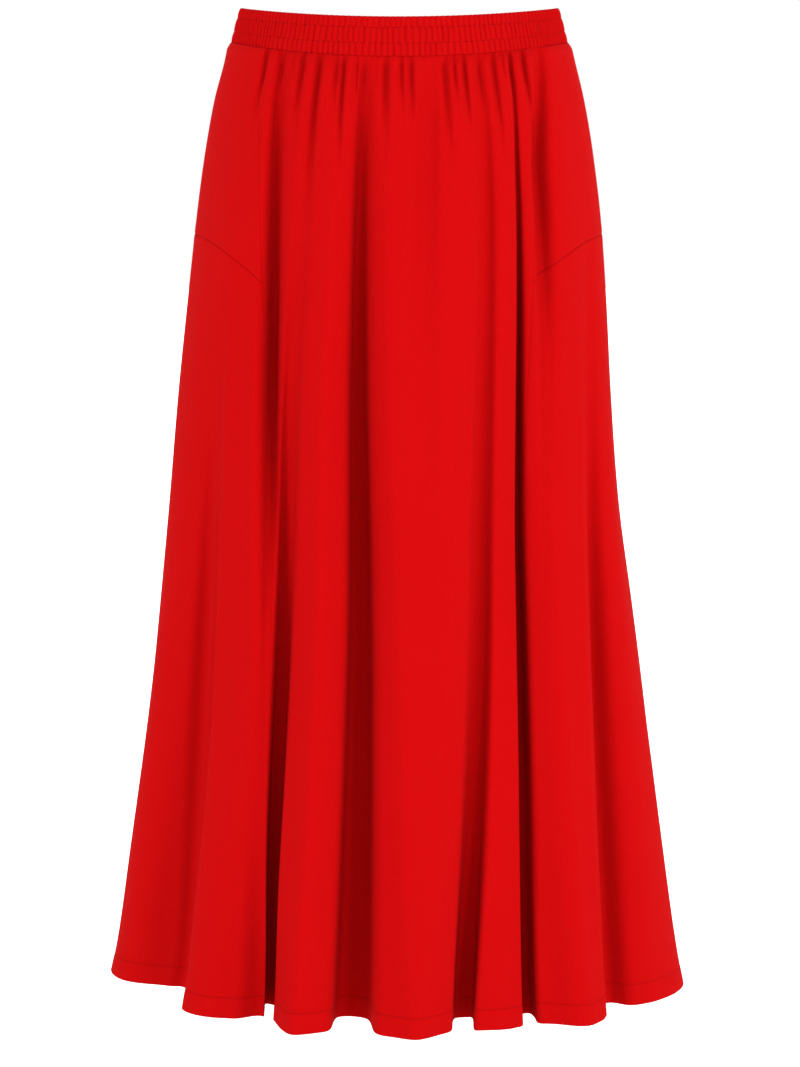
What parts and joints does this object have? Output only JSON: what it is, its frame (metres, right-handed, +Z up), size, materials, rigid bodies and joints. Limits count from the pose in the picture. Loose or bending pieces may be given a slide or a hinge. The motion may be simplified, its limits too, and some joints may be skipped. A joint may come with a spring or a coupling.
{
  "type": "maxi skirt",
  "caption": "Long flared skirt in plain knit, hollow as worn, with a ribbed elastic waistband, gathered centre panels, hip yokes and a turned-up hem.",
  "frame": {"origin": "middle of the waist, level with the sides of the waistband's top edge", "axes": "+Z up, the front faces -Y, the wearer's left is +X"},
  "size_m": [0.552, 0.4287, 0.9205],
  "materials": {
    "waistband": "matt knit",
    "front_panel": "matt knit",
    "back_panel": "matt knit",
    "yoke_left": "matt knit",
    "yoke_right": "matt knit",
    "side_panel_left": "matt knit",
    "side_panel_right": "matt knit"
  },
  "bodies": {
    "root": {"waistband": "waistband", "front_panel": "front_panel", "back_panel": "back_panel", "yoke_left": "yoke_left", "yoke_right": "yoke_right", "side_panel_left": "side_panel_left", "side_panel_right": "side_panel_right"}
  },
  "joints": []
}
